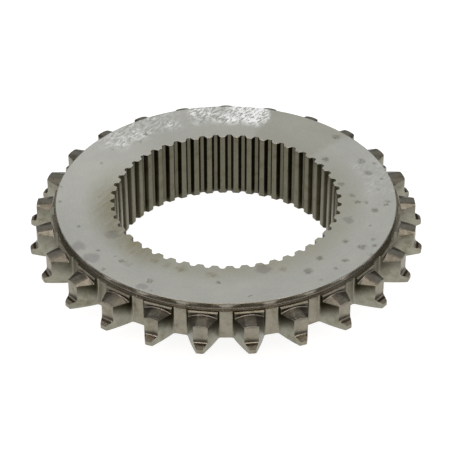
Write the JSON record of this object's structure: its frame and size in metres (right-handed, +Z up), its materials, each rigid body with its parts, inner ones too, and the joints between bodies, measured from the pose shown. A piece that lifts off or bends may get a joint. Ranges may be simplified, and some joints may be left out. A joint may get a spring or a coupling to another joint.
{
  "type": "splined dog clutch ring",
  "caption": "Flat steel coupling ring with roof-topped dog teeth with stepped toes round its rim, a shallow neck above them, a plain hub below and an internal spline.",
  "frame": {"origin": "on the ring's axis, at the hub's flat end face, which the ring rests on", "axes": "+Z up along the ring's axis towards the ground top face; one dog tooth points along +Y, so a tooth gap faces -Y; +X to the right"},
  "size_m": [0.1312, 0.131, 0.0239],
  "materials": {
    "machined_steel": "ground top face with dried oil stains, turned neck, machined teeth and broached spline"
  },
  "bodies": {
    "root": {"toothed_ring": "machined_steel"}
  },
  "joints": []
}
